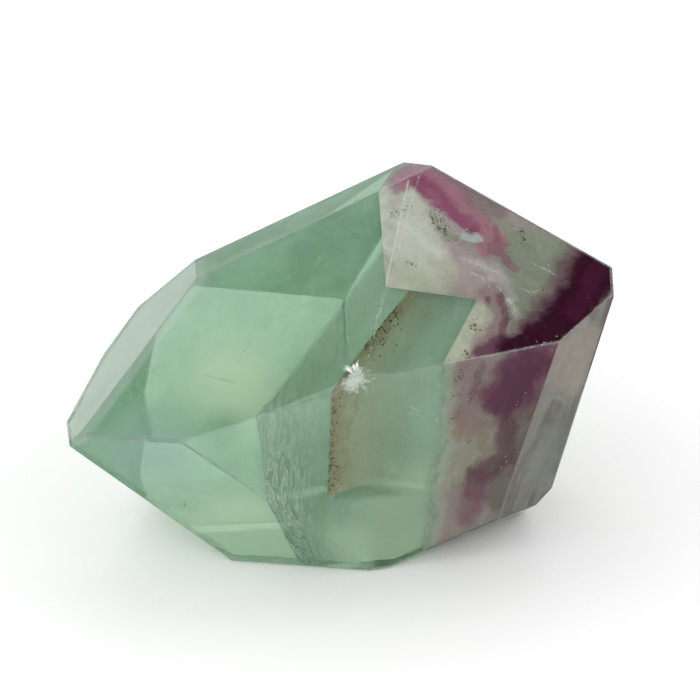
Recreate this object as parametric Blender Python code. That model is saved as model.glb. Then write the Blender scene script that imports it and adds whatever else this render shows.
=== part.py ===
"""Fluorite octahedron: one polished, see-through crystal that stands on a flat base.

The stone is cut the way a lapidary cuts it. A rough block is held at a working
centre, and each facet is one flat slice taken off it at a turn, a lean and a
reach. The slices are stopped short by the polish radius, and a small ball run
over every corner and edge then brings them out to size with rounded arrises.

Axes: +X along the stone's length towards its blunt end, -Y the front, +Z up.
The stone's origin is the centre of its footprint box, at table height.
"""

import math

import bmesh
import bpy
from mathutils import Vector

# All lengths below are in millimetres and all angles in degrees.
MM = 0.001

# Side of the rough block. It only has to be larger than the finished stone.
BLOCK_SIDE = 140.0

# Radius that polishing leaves on every arris and corner.
POLISH_RADIUS = 0.5

# How finely the polishing ball is divided: higher gives smoother arrises.
BALL_DIVISIONS = 3

# Points closer than this are treated as one when a slice is closed.
WELD = 1e-5

# Faces whose directions differ by less than this angle are the same flat.
SAME_FLAT = 0.05

# Height of the working centre above the table, which is also the base's reach.
CENTRE_HEIGHT = 20.8

# Each facet is (name, turn, lean, reach).
# turn is the way the facet looks, seen from above: 0 is the front, 90 the
# blunt right end, 180 the back, and negative turns go to the pointed left end.
# lean is how far it looks upwards, and a negative lean is an undercut.
# reach is the distance from the working centre to the flat.

# The two broad upper faces meet in a faint ridge that climbs to the apex.
CROWN = [
    ("crown_left", -6.0, 55.0, 15.9),
    ("crown_right", 7.0, 53.0, 16.4),
]

# The front is one broad upright face, a narrow end face and a leaning keel.
FRONT = [
    ("front_face", 13.0, 6.0, 16.8),
    ("blunt_end", 41.0, -4.0, 25.4),
    ("left_keel", -7.0, -16.0, 23.3),
]

# Two narrow bevels run along the upper left side, from the point to the apex.
BEVELS = [
    ("point_bevel", -94.0, 45.0, 26.5),
    ("apex_bevel", -107.0, 68.0, 22.7),
]

# The back repeats the octahedral plan: two faces above and two below. A short
# upright facet, the girdle, stands between them on the left.
BACK = [
    ("back_left_upper", -147.0, 35.0, 22.4),
    ("back_right_upper", 140.0, 36.7, 29.3),
    ("back_girdle", -163.0, 5.0, 19.7),
    ("back_left_lower", -156.0, -14.0, 19.9),
    ("back_right_lower", 158.0, -12.0, 20.0),
    ("blunt_back", 105.0, -17.0, 29.0),
]

# The undersides leave the pointed end standing clear of the table.
UNDERSIDES = [
    ("front_undercut", 36.5, -48.0, 27.3),
    ("blunt_undercut", 66.0, -38.0, 31.8),
    ("point_undercut", -62.0, -45.0, 30.3),
    ("point_side", -112.0, -14.0, 31.0),
    ("point_shoulder", -129.0, -5.0, 27.3),
]

# The point is blunted, and a knock has taken the nose off the middle corner.
NIPS = [
    ("point_flat", -82.0, -2.0, 40.4),
    ("nose_knock", 6.0, 35.0, 17.7),
]

# The base is level and carries the stone.
BASE = [("base_flat", 0.0, -90.0, CENTRE_HEIGHT)]

FACETS = CROWN + FRONT + BEVELS + BACK + UNDERSIDES + NIPS + BASE


def clear_scene():
    """Remove every object, so that only the stone is left at the end."""
    for item in list(bpy.data.objects):
        bpy.data.objects.remove(item, do_unlink=True)


def facing(turn, lean):
    """Return the outward direction of a facet from its turn and lean."""
    around = math.radians(turn)
    upward = math.radians(lean)
    level = math.cos(upward)
    return Vector((math.sin(around) * level, -math.cos(around) * level, math.sin(upward)))


def rough_block():
    """Return a cube of rough around the working centre."""
    block = bmesh.new()
    bmesh.ops.create_cube(block, size=BLOCK_SIDE)
    return block


def slice_facet(stone, outward, reach):
    """Take everything beyond one flat off the stone and close the cut."""
    geometry = stone.verts[:] + stone.edges[:] + stone.faces[:]
    cut = bmesh.ops.bisect_plane(
        stone,
        geom=geometry,
        dist=WELD,
        plane_co=outward * reach,
        plane_no=outward,
        clear_outer=True,
    )
    rim = [item for item in cut["geom_cut"] if isinstance(item, bmesh.types.BMEdge)]
    bmesh.ops.holes_fill(stone, edges=rim, sides=0)


def cut_core():
    """Return the corners of the stone, cut short of size by the polish radius."""
    stone = rough_block()
    for _name, turn, lean, reach in FACETS:
        slice_facet(stone, facing(turn, lean), reach - POLISH_RADIUS)
    corners = [vertex.co.copy() for vertex in stone.verts]
    stone.free()
    return corners


def polishing_ball():
    """Return the points of the small ball that rounds the arrises."""
    ball = bmesh.new()
    bmesh.ops.create_icosphere(ball, subdivisions=BALL_DIVISIONS, radius=POLISH_RADIUS)
    points = [vertex.co.copy() for vertex in ball.verts]
    ball.free()
    return points


def polish(corners):
    """Wrap a tight skin round a ball at every corner, which rounds each arris."""
    skin = bmesh.new()
    ball = polishing_ball()
    for corner in corners:
        for point in ball:
            skin.verts.new(corner + point)
    wrapped = bmesh.ops.convex_hull(skin, input=skin.verts[:])
    inside = [item for item in wrapped["geom_interior"] if isinstance(item, bmesh.types.BMVert)]
    bmesh.ops.delete(skin, geom=inside, context="VERTS")
    bmesh.ops.dissolve_limit(
        skin,
        angle_limit=math.radians(SAME_FLAT),
        verts=skin.verts[:],
        edges=skin.edges[:],
    )
    bmesh.ops.recalc_face_normals(skin, faces=skin.faces[:])
    return skin


def stand_on_table(stone):
    """Move the stone so its footprint box is centred and its base is at zero."""
    lows = Vector([min(vertex.co[axis] for vertex in stone.verts) for axis in range(3)])
    highs = Vector([max(vertex.co[axis] for vertex in stone.verts) for axis in range(3)])
    middle = (lows + highs) / 2.0
    shift = Vector((-middle.x, -middle.y, -lows.z))
    bmesh.ops.translate(stone, vec=shift, verts=stone.verts[:])
    bmesh.ops.scale(stone, vec=Vector((MM, MM, MM)), verts=stone.verts[:])


def is_flat(face):
    """Tell whether a face is one of the cut flats, and not part of an arris."""
    for _name, turn, lean, _reach in FACETS:
        if face.normal.angle(facing(turn, lean)) < math.radians(SAME_FLAT):
            return True
    return False


def shade(stone):
    """Keep the flats crisp and the rounded arrises between them smooth."""
    stone.normal_update()
    for face in stone.faces:
        face.smooth = not is_flat(face)


def fluorite_material():
    """Return the stone's own material, a pale green glassy crystal."""
    material = bpy.data.materials.new("fluorite")
    material.use_nodes = True
    surface = material.node_tree.nodes["Principled BSDF"]
    surface.inputs["Base Color"].default_value = (0.45, 0.66, 0.52, 1.0)
    surface.inputs["Roughness"].default_value = 0.08
    surface.inputs["IOR"].default_value = 1.434
    surface.inputs["Transmission Weight"].default_value = 0.8
    return material


def add_stone():
    """Build the finished stone as one named object."""
    stone = polish(cut_core())
    stand_on_table(stone)
    shade(stone)
    mesh = bpy.data.meshes.new("fluorite_crystal")
    stone.to_mesh(mesh)
    stone.free()
    crystal = bpy.data.objects.new("fluorite_crystal", mesh)
    bpy.context.scene.collection.objects.link(crystal)
    crystal.data.materials.append(fluorite_material())
    return crystal


def main():
    clear_scene()
    add_stone()


main()
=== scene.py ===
"""Dress a polished fluorite crystal: clear green stone, colour zones, cleavages and wear.

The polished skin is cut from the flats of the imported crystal. What is inside it
grew there, so each zone, sheet and veil is shaped to the flats that it lies under.

Lengths in the tables below are millimetres and angles are degrees. A place in
the stone is (x, y, z) from the centre of its footprint, with the table at zero.
"""

import math
import random

import bmesh
import bpy
from bpy.props import FloatProperty, FloatVectorProperty, PointerProperty
from mathutils import Matrix, Vector, noise


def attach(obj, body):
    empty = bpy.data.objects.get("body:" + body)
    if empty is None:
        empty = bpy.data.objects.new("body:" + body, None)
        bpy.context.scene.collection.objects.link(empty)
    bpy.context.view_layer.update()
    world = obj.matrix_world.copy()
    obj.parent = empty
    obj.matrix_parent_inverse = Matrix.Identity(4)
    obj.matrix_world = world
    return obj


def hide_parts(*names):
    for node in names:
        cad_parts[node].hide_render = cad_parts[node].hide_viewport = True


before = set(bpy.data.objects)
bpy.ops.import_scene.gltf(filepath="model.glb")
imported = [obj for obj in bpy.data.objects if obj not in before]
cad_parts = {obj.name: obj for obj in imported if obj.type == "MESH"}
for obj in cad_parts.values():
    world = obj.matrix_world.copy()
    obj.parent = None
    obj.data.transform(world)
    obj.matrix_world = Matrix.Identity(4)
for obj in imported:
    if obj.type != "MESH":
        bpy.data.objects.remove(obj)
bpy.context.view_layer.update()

bl_info = {
    "name": "Fluorite crystal",
    "version": (1, 0, 0),
    "blender": (4, 5, 0),
    "location": "3D View > Sidebar > Fluorite",
    "description": "Builds a polished fluorite crystal with its zones, cleavages and wear",
    "category": "Add Mesh",
}

MM = 0.001
STONE_NODE = "fluorite_crystal"
BODY = "root"

# Noise vectors start from the clock unless they are given a seed.
NOISE_SEED = 1
noise.seed_set(NOISE_SEED)

# The flats of the crystal as (turn, lean). turn is the way a flat looks, seen
# from above: 0 is the front and 90 the blunt end. lean is how far it looks up.
FLATS = {
    "crown_left": (-6.0, 55.0),
    "crown_right": (7.0, 53.0),
    "front_face": (13.0, 6.0),
    "blunt_end": (41.0, -4.0),
    "left_keel": (-7.0, -16.0),
    "point_bevel": (-94.0, 45.0),
    "apex_bevel": (-107.0, 68.0),
    "back_left_upper": (-147.0, 35.0),
    "back_right_upper": (140.0, 36.7),
    "back_girdle": (-163.0, 5.0),
    "back_left_lower": (-156.0, -14.0),
    "back_right_lower": (158.0, -12.0),
    "blunt_back": (105.0, -17.0),
    "front_undercut": (36.5, -48.0),
    "blunt_undercut": (66.0, -38.0),
    "point_undercut": (-62.0, -45.0),
    "point_side": (-112.0, -14.0),
    "point_shoulder": (-129.0, -5.0),
    "point_flat": (-82.0, -2.0),
    "nose_knock": (6.0, 35.0),
    "base_flat": (0.0, -90.0),
}

# Planes inside the stone as (turn, lean, distance from the footprint centre).
ZONE_WALL = (59.6, -0.7, 18.27)
FIRST_CLEAVAGE = (46.0, 8.0, 8.92)
STAINED_CLEAVAGE = (47.8, 2.8, 11.89)

# How far the foot of the first cleavage curves back, and where it starts to.
FOOT_BEND = 1.1
FOOT_TOP = 20.0
FOOT_DROP = 15.0

# The stained cleavage ends on this plane, low in the stone.
STAIN_FLOOR = ((0.0, -0.15, -1.0), -9.5)

# How far past the wall of the colour zones each piece ends. The heart begins there.
CAP_PAST_WALL = 1.0
HEART_PAST_WALL = 5.0
HAZE_PAST_WALL = 0.6
SHEET_PAST_WALL = 0.3

# How far the sheets stay under the polish, before and after they are bent.
SHEET_DEPTH = 0.12
SHEET_ROOM = 0.05

# How the inner walls of a piece wander: (amount, size, margin that stays flat).
RIPPLES = {
    "colour_zones": (0.5, 4.0, 1.6),
    "zone_heart": (0.8, 3.0, 1.0),
    "clear_haze": (0.5, 4.0, 2.0),
}

# The ribs of the first cleavage reach this far in from its edge. Below the first
# height they are at their strongest, and they are gone this much above it.
RIB_REACH = 6.5
RIB_FULL = 24.0
RIB_FADE = 6.0

# The knock on the nose is centred here. The bruise lies this deep under it.
KNOCK = (2.4, -15.2, 28.9)
BRUISE_DEPTH = 0.25
BRUISE_SPOKES = 64
BRUISE_RINGS = 12
BRUISE_CRACKS = 18

# How worn the polish is on an arris, and on the faint ridge between the crowns.
ARRIS_WEAR = 0.35
RIDGE_WEAR = 1.0

# Depths of the specks, flecks and scratches under the polish.
SPECK_DEPTH = 0.24
FLECK_DEPTH = 0.20
LINE_DEPTH = 0.22

# The milky cap meets the crown along two lines from this corner.
CAP_CORNER = (6.1, -4.5, 37.4)
CAP_SIDE_LINE = (-1.0, 11.9, 8.2)
CAP_SIDE_DEPTH = (0.5, 0.7, -0.5)
CAP_FLOOR_LINE = (12.5, -0.7, -1.6)
CAP_FLOOR_DEPTH = (0.0, 0.85, -0.45)

# The colour bands run into the stone along this direction.
BAND_DEPTH = (0.25, 0.80, -0.545)

# The bands are drawn out across the crown, and steeply down the front. The
# darkest ones run across the others.
CROWN_RUN = (15.8, -9.1, -8.3)
FRONT_RUN = (10.3, 4.9, 22.0)
CROSSING_RUN = (13.4, 12.2, 7.9)

# Each streak is (one end, other end, half width, feather). The last is how far it fades.
STREAKS = {
    "mauve_edge": ((13.9, 10.0, 47.5), (21.7, 6.3, 44.1), 0.51, 2.32),
    "window_a": ((24.9, 1.1, 39.9), (29.9, 0.2, 38.8), 0.92, 5.17),
    "window_b": ((27.7, -1.2, 38.0), (23.9, -6.3, 34.5), 0.82, 4.14),
    "milk": ((8.5, 5.4, 44.6), (9.6, -0.8, 39.9), 2.40, 4.18),
    "milk_foot": ((6.9, -2.9, 38.6), (13.2, -3.1, 37.9), 0.98, 3.36),
    "milk_rim": ((7.2, 6.7, 45.7), (6.3, -2.2, 39.1), 0.15, 1.56),
    "lilac_top": ((15.2, -0.8, 39.3), (19.0, -2.3, 37.9), 0.92, 3.88),
    "apex_pink": ((7.8, 8.8, 47.2), (8.9, 9.9, 47.9), 0.61, 2.32),
    "rose_a": ((8.9, 9.4, 47.5), (10.8, 9.9, 47.8), 0.61, 2.07),
    "rose_b": ((10.8, 9.9, 47.8), (13.1, 8.3, 46.4), 0.71, 2.07),
    "rose_c": ((13.1, 8.3, 46.4), (15.7, 6.2, 44.6), 0.71, 2.07),
    "rose_d": ((15.7, 6.2, 44.6), (18.6, 4.1, 42.7), 0.61, 2.07),
    "rose_e": ((18.6, 4.1, 42.7), (20.8, 1.9, 40.9), 0.95, 2.20),
    "core_a": ((11.1, 8.8, 46.9), (13.1, 7.0, 45.4), 0.12, 2.30),
    "core_b": ((13.1, 7.0, 45.4), (15.0, 5.3, 44.0), 0.12, 2.30),
    "core_c": ((15.0, 5.3, 44.0), (18.0, 3.2, 42.1), 0.12, 2.30),
    "hook_a": ((20.8, 1.4, 40.5), (22.7, -0.1, 39.2), 0.14, 0.88),
    "hook_b": ((22.7, -0.1, 39.2), (24.3, -0.9, 38.4), 0.18, 0.70),
    "tail": ((21.4, 3.5, 42.1), (21.9, 0.9, 40.0), 0.13, 0.88),
    "sky": ((12.5, 5.4, 44.2), (18.6, 2.1, 41.2), 0.31, 0.88),
    "sky_bright": ((17.2, 2.5, 41.7), (18.7, 2.0, 41.1), 0.24, 0.70),
    "wisp_a": ((17.1, -0.2, 39.6), (21.0, -1.5, 38.3), 0.14, 0.88),
    "wisp_b": ((21.0, -1.5, 38.3), (23.3, -4.9, 35.6), 0.11, 1.56),
    "wisp_c": ((23.3, -4.9, 35.6), (24.3, -7.0, 33.9), 0.13, 0.88),
    "pink_a": ((20.7, -4.8, 35.9), (20.3, -7.8, 33.7), 0.82, 2.32),
    "pink_b": ((20.3, -7.8, 33.7), (20.0, -11.2, 31.2), 0.92, 2.32),
    "thread_a": ((21.8, -4.5, 36.0), (22.4, -7.1, 34.0), 0.17, 0.70),
    "thread_b": ((22.4, -7.1, 34.0), (21.7, -10.1, 31.8), 0.17, 0.70),
    "thread_c": ((20.2, -5.0, 35.8), (20.1, -6.8, 34.4), 0.10, 0.53),
    "rose_foot": ((21.4, -10.6, 31.5), (19.2, -11.5, 31.0), 0.20, 1.80),
    "halo_a": ((35.5, 1.6, 39.3), (33.2, -2.2, 36.6), 1.73, 4.97),
    "halo_b": ((33.2, -2.2, 36.6), (30.3, -5.9, 34.2), 1.53, 4.33),
    "halo_c": ((30.3, -5.9, 34.2), (26.4, -9.3, 32.0), 1.12, 4.03),
    "halo_d": ((26.4, -9.3, 32.0), (21.9, -10.9, 31.2), 0.41, 3.10),
    "deep_a": ((36.4, 1.4, 39.1), (34.3, -2.4, 36.4), 1.84, 3.13),
    "deep_b": ((34.3, -2.4, 36.4), (31.1, -6.3, 33.8), 1.45, 3.13),
    "deep_c": ((31.1, -6.3, 33.8), (27.5, -9.2, 32.0), 0.97, 3.13),
    "deep_d": ((27.5, -9.2, 32.0), (23.0, -10.8, 31.2), 0.29, 2.43),
    "swirl": ((35.6, -0.6, 37.7), (32.0, -5.9, 34.2), 0.20, 2.40),
    "pale_edge": ((18.4, -6.9, 34.5), (15.3, -11.7, 31.2), 0.41, 2.85),
    "lilac_a": ((19.2, -12.2, 29.2), (16.8, -13.5, 22.4), 0.33, 3.13),
    "lilac_b": ((17.5, -12.5, 29.5), (15.4, -13.7, 23.5), 0.20, 2.79),
    "lilac_line": ((19.7, -12.0, 29.5), (17.6, -13.1, 24.1), 0.10, 0.70),
    "purple_a": ((27.6, -10.1, 30.0), (23.9, -11.4, 26.6), 1.32, 3.13),
    "purple_b": ((23.9, -11.4, 26.6), (21.6, -12.2, 23.6), 1.07, 2.82),
    "plum_a": ((26.4, -10.5, 29.2), (23.7, -11.5, 26.0), 0.46, 3.48),
    "plum_b": ((23.7, -11.5, 26.0), (22.0, -12.2, 23.2), 0.46, 3.13),
    "umber_a": ((25.9, -11.2, 23.6), (24.1, -12.1, 19.0), 0.46, 3.48),
    "umber_b": ((24.1, -12.1, 19.0), (22.6, -13.6, 8.8), 0.46, 3.85),
    "rosy": ((14.3, -14.2, 20.6), (17.9, -13.4, 20.7), 0.20, 2.43),
    "rust": ((13.9, -14.4, 20.0), (15.7, -14.0, 19.7), 0.10, 0.70),
    "cream_a": ((19.6, -13.1, 19.9), (21.8, -12.6, 19.8), 0.24, 1.19),
    "cream_b": ((20.7, -13.0, 17.5), (16.9, -14.3, 14.0), 0.62, 2.79),
    "cream_c": ((16.0, -14.2, 17.3), (14.7, -14.9, 13.6), 0.27, 2.79),
    "olive": ((19.7, -13.2, 18.5), (19.6, -13.4, 17.3), 0.10, 1.60),
    "wine_a": ((23.2, -12.2, 20.0), (22.7, -12.8, 15.9), 0.23, 2.43),
    "wine_b": ((22.7, -12.8, 15.9), (20.0, -13.7, 13.2), 0.20, 2.11),
    "wine_c": ((19.4, -13.9, 12.9), (18.6, -14.4, 10.3), 0.12, 2.00),
    "wine_d": ((18.6, -14.4, 10.3), (17.4, -15.1, 6.1), 0.10, 2.11),
    "lilac_c": ((16.1, -14.8, 11.2), (15.0, -15.7, 5.2), 0.53, 4.54),
    "moss": ((22.3, -13.5, 10.4), (22.6, -13.7, 7.9), 0.20, 2.79),
    "satin_top": ((33.1, -6.8, 31.1), (30.7, -8.5, 26.2), 0.58, 3.99),
    "satin_pale": ((28.5, -10.1, 23.0), (25.1, -12.2, 14.2), 0.21, 2.56),
    "satin_dark": ((30.0, -8.6, 21.1), (25.3, -11.9, 12.7), 0.10, 1.08),
    "satin_low": ((30.2, -7.8, 14.8), (28.1, -9.2, 9.0), 0.42, 3.13),
    "satin_edge": ((32.9, -5.8, 17.7), (31.0, -6.7, 9.5), 0.10, 2.28),
    "seam_a": ((9.3, 8.8, 47.1), (7.9, 2.9, 42.8), 0.03, 0.20),
    "seam_b": ((7.9, 2.9, 42.8), (6.2, -4.2, 37.7), 0.03, 0.18),
}


# Patches where the clear stone is milkier or greyer, as (centre, width, colour, density).
GLOWS = (
    ((-14.5, -14.2, 27.8), 11.0, (0.84, 0.94, 0.74), 0.62),
    ((-13.0, -17.8, 6.5), 11.5, (0.86, 0.96, 0.78), 0.66),
    ((-25.9, -20.7, 19.7), 9.5, (0.50, 0.64, 0.62), 0.70),
    ((-16.0, -20.9, 23.3), 5.5, (0.40, 0.60, 0.46), 0.55),
)

# Thin white or dark lines just under the polish, as (points, width, dark).
LINES = {
    "ridge_low": (((6.2, -4.2, 37.7), (5.5, -6.8, 35.7), (4.5, -10.0, 33.4)), 0.22, False),
    "lap_scratch_a": (((8.9, -15.0, 24.9), (10.7, -14.7, 23.6), (12.6, -14.4, 22.3)), 0.16, False),
    "lap_scratch_b": (((9.3, -15.1, 23.6), (11.5, -14.6, 22.7)), 0.16, False),
    "wisp_high": (
        (
            (15.9, -0.2, 39.8), (18.5, -0.6, 39.2),
            (21.4, -1.5, 38.3), (23.1, -2.6, 37.3),
        ), 0.80, False,
    ),
    "wisp_low": (((21.8, -3.2, 37.0), (23.4, -4.9, 35.6), (24.5, -6.9, 34.0)), 0.80, False),
    "wisp_pink": (((17.4, -1.4, 38.7), (19.6, -2.4, 37.8), (21.0, -3.8, 36.6)), 0.60, False),
    "wisp_edge": (((26.6, 0.0, 38.9), (28.5, -0.6, 38.3), (29.9, -1.4, 37.6)), 0.55, False),
    "wisp_deep": (((24.6, -3.2, 36.7), (26.2, -3.6, 36.3), (27.7, -3.4, 36.3)), 0.40, False),
    "nose_line": (((2.2, -16.2, 28.3), (3.6, -15.8, 28.8), (4.8, -15.5, 29.4)), 0.45, False),
    "keel_streak": (((-18.7, -18.5, 9.1), (-16.6, -19.0, 9.9)), 0.30, False),
    "crown_scratch_a": (
        ((-20.6, -8.3, 32.7), (-18.2, -8.1, 33.1), (-15.8, -8.4, 33.1)), 0.18, False,
    ),
    "crown_scratch_b": (((-7.6, -2.3, 38.0), (-6.3, -1.9, 38.2)), 0.16, False),
    "crown_cross_a": (((-3.5, -1.2, 39.1), (-2.2, 0.8, 40.3)), 0.14, False),
    "crown_cross_b": (((-3.9, 0.3, 40.1), (-1.8, -0.7, 39.2)), 0.14, False),
    "hair_a": (((-19.4, -13.9, 29.0), (-16.4, -14.6, 28.7), (-13.2, -15.7, 28.1)), 0.12, True),
    "hair_b": (((-11.9, -9.5, 32.6), (-13.0, -11.2, 31.4), (-14.3, -13.1, 29.9)), 0.12, True),
    "hair_c": (((-18.5, -19.6, 25.0), (-17.3, -20.3, 24.7)), 0.14, True),
}

# Clusters of dark specks, and of white flecks, just under the polish.
SPECKS = (
    (9.4, 5.7, 44.7), (12.6, 5.1, 44.1), (12.9, 4.7, 43.7), (13.3, 4.2, 43.3), (13.6, 4.6, 43.6),
    (13.9, 3.6, 42.8), (14.1, 3.1, 42.4), (14.6, 3.5, 42.7), (13.5, 5.6, 44.3), (14.3, 4.4, 43.3),
    (14.8, 2.8, 42.1), (13.0, 3.7, 42.9), (18.4, -8.3, 33.5), (18.5, -7.8, 33.9),
    (18.5, -8.9, 33.0),
    (17.4, -11.9, 30.8), (17.1, -11.6, 31.1), (23.2, -6.6, 34.3), (23.5, -7.1, 33.9),
    (23.0, -6.0, 34.8), (25.0, 3.6, 41.7), (25.3, 3.0, 41.3), (25.4, 2.5, 40.9),
    (27.9, -3.7, 36.0),
    (28.1, -4.7, 35.3), (17.9, 3.4, 42.3), (18.2, 2.9, 41.9), (7.6, 4.6, 44.1), (20.3, 4.5, 42.8),
    (22.9, 1.8, 40.6), (16.1, 2.2, 41.5), (9.9, -1.2, 39.5), (17.0, -12.7, 29.4),
    (16.3, -13.0, 27.5), (16.4, -12.9, 28.0), (15.8, -13.4, 24.9), (18.9, -12.3, 28.4),
    (15.4, -13.9, 21.6), (17.9, -13.7, 18.1), (-1.7, -18.4, 13.3), (-21.4, -18.7, 10.9),
)
FLECKS = (
    (19.8, 7.3, 45.0), (19.2, 7.6, 45.3), (24.3, 4.4, 42.4), (28.7, -9.9, 31.3),
    (28.1, -9.6, 31.6),
    (29.2, -9.4, 31.6), (30.1, -9.0, 31.9), (27.4, -10.0, 31.3), (26.0, -10.4, 31.2),
    (28.8, -0.6, 38.3), (27.4, -0.1, 38.8), (24.8, -3.3, 36.6), (22.1, -2.9, 37.2),
    (23.7, -5.2, 35.3), (21.8, -2.1, 37.8), (22.5, -4.5, 36.0), (24.9, -11.3, 25.2),
    (21.9, -13.3, 13.1), (23.0, -12.9, 14.6), (21.3, -12.8, 19.4), (13.3, -14.3, 21.9),
    (28.6, -9.9, 30.2), (29.7, -9.6, 30.5), (24.5, -11.6, 22.9),
)
SPECK_SIZES = (0.12, 0.10, 0.08, 0.07, 0.06, 0.05)
SPECK_SCATTER = 0.38
FLECK_SIZES = (0.03, 0.08)
FLECK_SCATTER = 0.35

# Trails of specks in the stained cleavage: (start, end, count, spread, flat it follows).
# Their specks have sizes in this range, and keep this far from the flat.
TRAIL_SIZES = (0.03, 0.12)
TRAIL_GAP = 0.2
TRAILS = (
    ((9.3, -7.0, 35.4), (6.5, -10.2, 33.2), 90, 1.1, "crown_right"),
    ((6.5, -10.2, 33.2), (4.3, -12.5, 31.6), 110, 1.3, "crown_right"),
    ((-0.8, -17.0, 27.0), (-1.8, -18.2, 17.9), 80, 0.45, "front_face"),
    ((-1.8, -18.2, 17.9), (-1.9, -18.8, 13.0), 75, 0.7, "front_face"),
)

# The room grows brighter towards this side, from the first colour to the second.
KEY_SIDE = (-60.0, 50.0)
ROOM_DIM = (0.80, 0.81, 0.82)
ROOM_BRIGHT = (1.26, 1.26, 1.25)

# Darker patches of the room as (turn, lean, start, full, shade).
ROOM_PATCHES = (
    (20.0, 78.0, 0.80, 0.95, 0.07),
    (-164.0, 11.0, 0.94, 0.985, 0.42),
)

# The camera sees this width at this distance, and looks this far off the nose.
SENSOR_WIDTH = 36.0
FIELD_WIDTH = 95.2
FIELD_DISTANCE = 450.0
AIM_LEFT = 1.632
AIM_UP = 4.08

# The table lies this far under the base, so that the two don't touch.
TABLE_DROP = 0.1


# ---------------------------------------------------------------- settings


class FluoriteSizes(bpy.types.PropertyGroup):
    """Depths and mesh sizes of the crystal's pieces"""

    polish: FloatProperty(
        name="Polish radius",
        description="Radius that polishing leaves on every arris",
        default=0.5 * MM, min=0.1 * MM, max=2.0 * MM, subtype="DISTANCE", unit="LENGTH",
    )
    skin: FloatProperty(
        name="Clear skin",
        description="Thickness of clear stone over the colour zones",
        default=0.35 * MM, min=0.1 * MM, max=3.0 * MM, subtype="DISTANCE", unit="LENGTH",
    )
    heart: FloatProperty(
        name="Heart depth",
        description="How deep the darker heart of the colour zones lies",
        default=2.4 * MM, min=0.5 * MM, max=8.0 * MM, subtype="DISTANCE", unit="LENGTH",
    )
    haze: FloatProperty(
        name="Haze depth",
        description="How deep the faint haze of the clear stone lies",
        default=1.2 * MM, min=0.3 * MM, max=6.0 * MM, subtype="DISTANCE", unit="LENGTH",
    )
    grain: FloatProperty(
        name="Zone mesh size",
        description="Size of the mesh faces on the colour zones",
        default=0.8 * MM, min=0.3 * MM, max=3.0 * MM, subtype="DISTANCE", unit="LENGTH",
    )
    sheet_grain: FloatProperty(
        name="Cleavage mesh size",
        description="Size of the mesh faces on the cleavage sheets",
        default=0.28 * MM, min=0.2 * MM, max=3.0 * MM, subtype="DISTANCE", unit="LENGTH",
    )


class FluoriteColours(bpy.types.PropertyGroup):
    """Colours of the clear stone, its bands and its stain"""

    body: FloatVectorProperty(
        name="Body colour",
        description="Colour that clear stone passes through the absorption depth",
        default=(0.30, 0.62, 0.36), min=0.0, max=1.0, size=3, subtype="COLOR",
    )
    depth: FloatProperty(
        name="Absorption density",
        description="How quickly the body colour builds up, per metre",
        default=26.0, min=0.0, max=200.0,
    )
    milk: FloatVectorProperty(
        name="Milky cap",
        description="Colour of the milky cap on the crown",
        default=(0.775, 0.735, 0.695), min=0.0, max=1.0, size=3, subtype="COLOR",
    )
    rose: FloatVectorProperty(
        name="Rose band",
        description="Colour of the rose band at the top",
        default=(0.53, 0.225, 0.33), min=0.0, max=1.0, size=3, subtype="COLOR",
    )
    deep: FloatVectorProperty(
        name="Darkest band",
        description="Colour of the nearly black band at the blunt corner",
        default=(0.052, 0.002, 0.020), min=0.0, max=1.0, size=3, subtype="COLOR",
    )
    purple: FloatVectorProperty(
        name="Purple band",
        description="Colour of the purple band down the front",
        default=(0.180, 0.012, 0.086), min=0.0, max=1.0, size=3, subtype="COLOR",
    )
    stain: FloatVectorProperty(
        name="Iron stain",
        description="Colour of the iron stain along the edge of its cleavage",
        default=(0.43, 0.34, 0.18), min=0.0, max=1.0, size=3, subtype="COLOR",
    )


class FluoriteStage(bpy.types.PropertyGroup):
    """Camera and light"""

    camera_height: FloatProperty(
        name="Camera elevation",
        description="How far the camera looks down on the stone",
        default=math.radians(30.0), min=0.0, max=math.radians(80.0), subtype="ANGLE",
    )
    camera_distance: FloatProperty(
        name="Camera distance",
        description="Distance from the camera to the nose of the stone",
        default=0.450, min=0.1, max=3.0, subtype="DISTANCE", unit="LENGTH",
    )
    sky: FloatProperty(
        name="Studio light",
        description="Brightness of the white studio all round the stone",
        default=1.35, min=0.0, max=5.0,
    )


# ---------------------------------------------------------------- geometry


def facing(turn, lean):
    """Return the outward direction of a flat from its turn and lean."""
    around = math.radians(turn)
    upward = math.radians(lean)
    level = math.cos(upward)
    return Vector((math.sin(around) * level, -math.cos(around) * level, math.sin(upward)))


def place(point):
    """Turn a place in millimetres into metres."""
    return Vector(point) * MM


def flat_planes(inset=0.0):
    """Return the stone's flats as (direction, distance), drawn in by an inset."""
    corners = [vertex.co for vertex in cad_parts[STONE_NODE].data.vertices]
    planes = []
    for turn, lean in FLATS.values():
        outward = facing(turn, lean)
        planes.append((outward, max(corner.dot(outward) for corner in corners) - inset))
    return planes


def flat_plane(name, inset=0.0):
    """Return one named flat as (direction, distance)."""
    return flat_planes(inset)[list(FLATS).index(name)]


def inner_plane(turn, lean, distance):
    """Return a plane inside the stone as (direction, distance)."""
    return facing(turn, lean), distance * MM


def moved(plane, distance):
    """Return a plane moved along its direction by millimetres."""
    return plane[0], plane[1] + distance * MM


def flipped(plane):
    """Return a plane that keeps the other side."""
    return -plane[0], -plane[1]


def line_plane(corner, line, depth, below):
    """Return the plane through a corner that holds a line and runs into the stone."""
    outward = Vector(line).cross(Vector(depth)).normalized()
    if outward.dot(Vector(below)) < 0.0:
        outward = -outward
    return outward, outward.dot(place(corner))


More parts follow.
